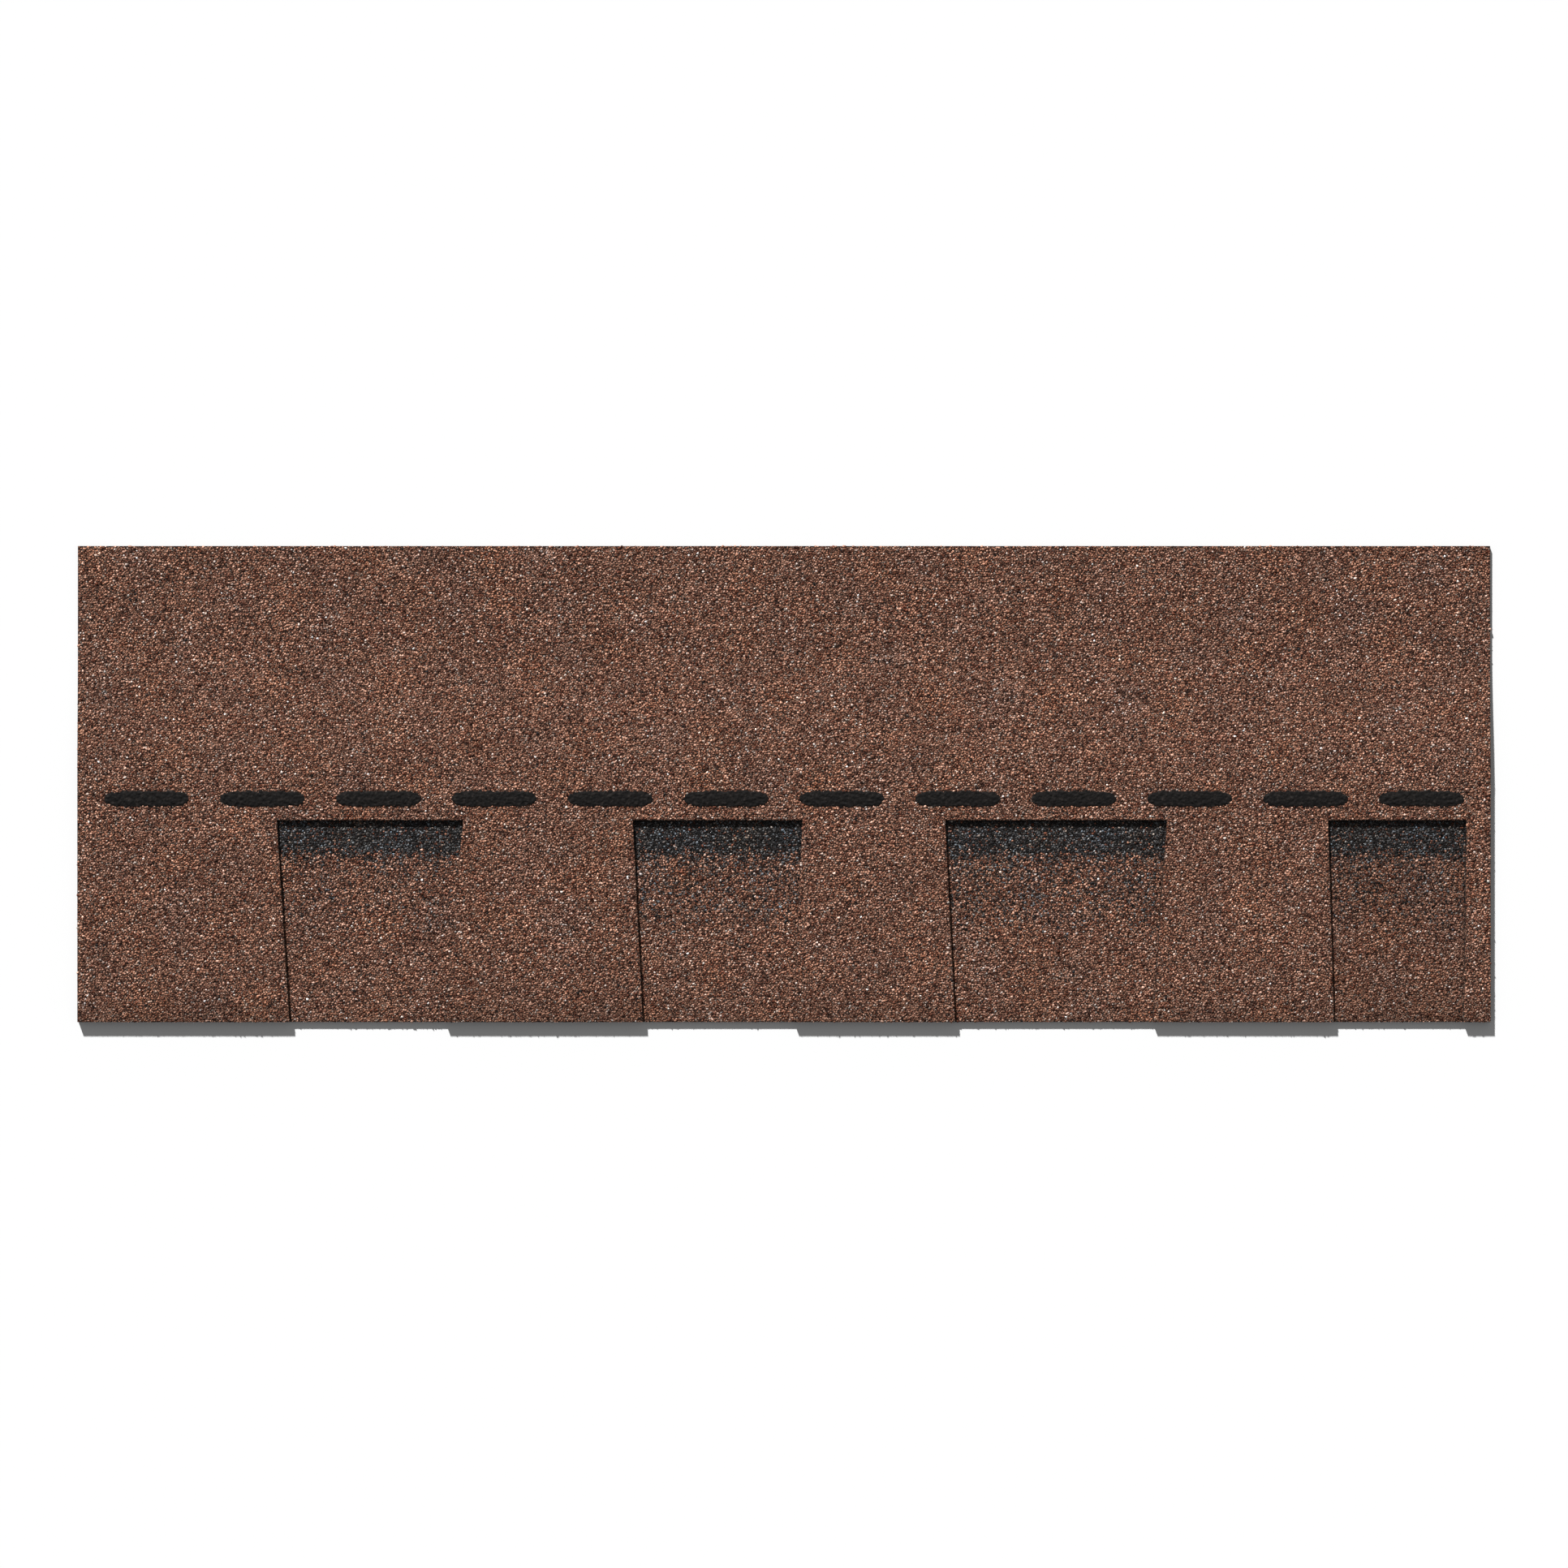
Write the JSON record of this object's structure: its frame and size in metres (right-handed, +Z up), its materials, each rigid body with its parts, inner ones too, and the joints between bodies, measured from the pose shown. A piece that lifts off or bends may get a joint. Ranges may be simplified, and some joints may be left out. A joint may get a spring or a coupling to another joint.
{
  "type": "laminated asphalt roofing shingle",
  "caption": "Flat laminated asphalt roofing shingle: a granule-faced ply with flared teeth, bonded to a backing strip, with a row of self-seal dashes above the cut-outs.",
  "frame": {"origin": "middle of the footprint, on the surface that the shingle lies on", "axes": "+X along the course, +Y up the roof slope from the butt edge to the top edge, +Z up out of the granule face"},
  "size_m": [1, 0.337, 0.006],
  "materials": {
    "brown_granules": "ceramic-coated mineral granules pressed into asphalt, brown blend, matt",
    "shadow_granules": "the same granules with a dark shadow band under the cut-outs' top edge, matt",
    "sealant_asphalt": "black modified asphalt, half gloss"
  },
  "bodies": {
    "root": {"tooth_ply": "brown_granules", "backing_strip": "shadow_granules", "sealant_dashes": "sealant_asphalt"}
  },
  "joints": []
}
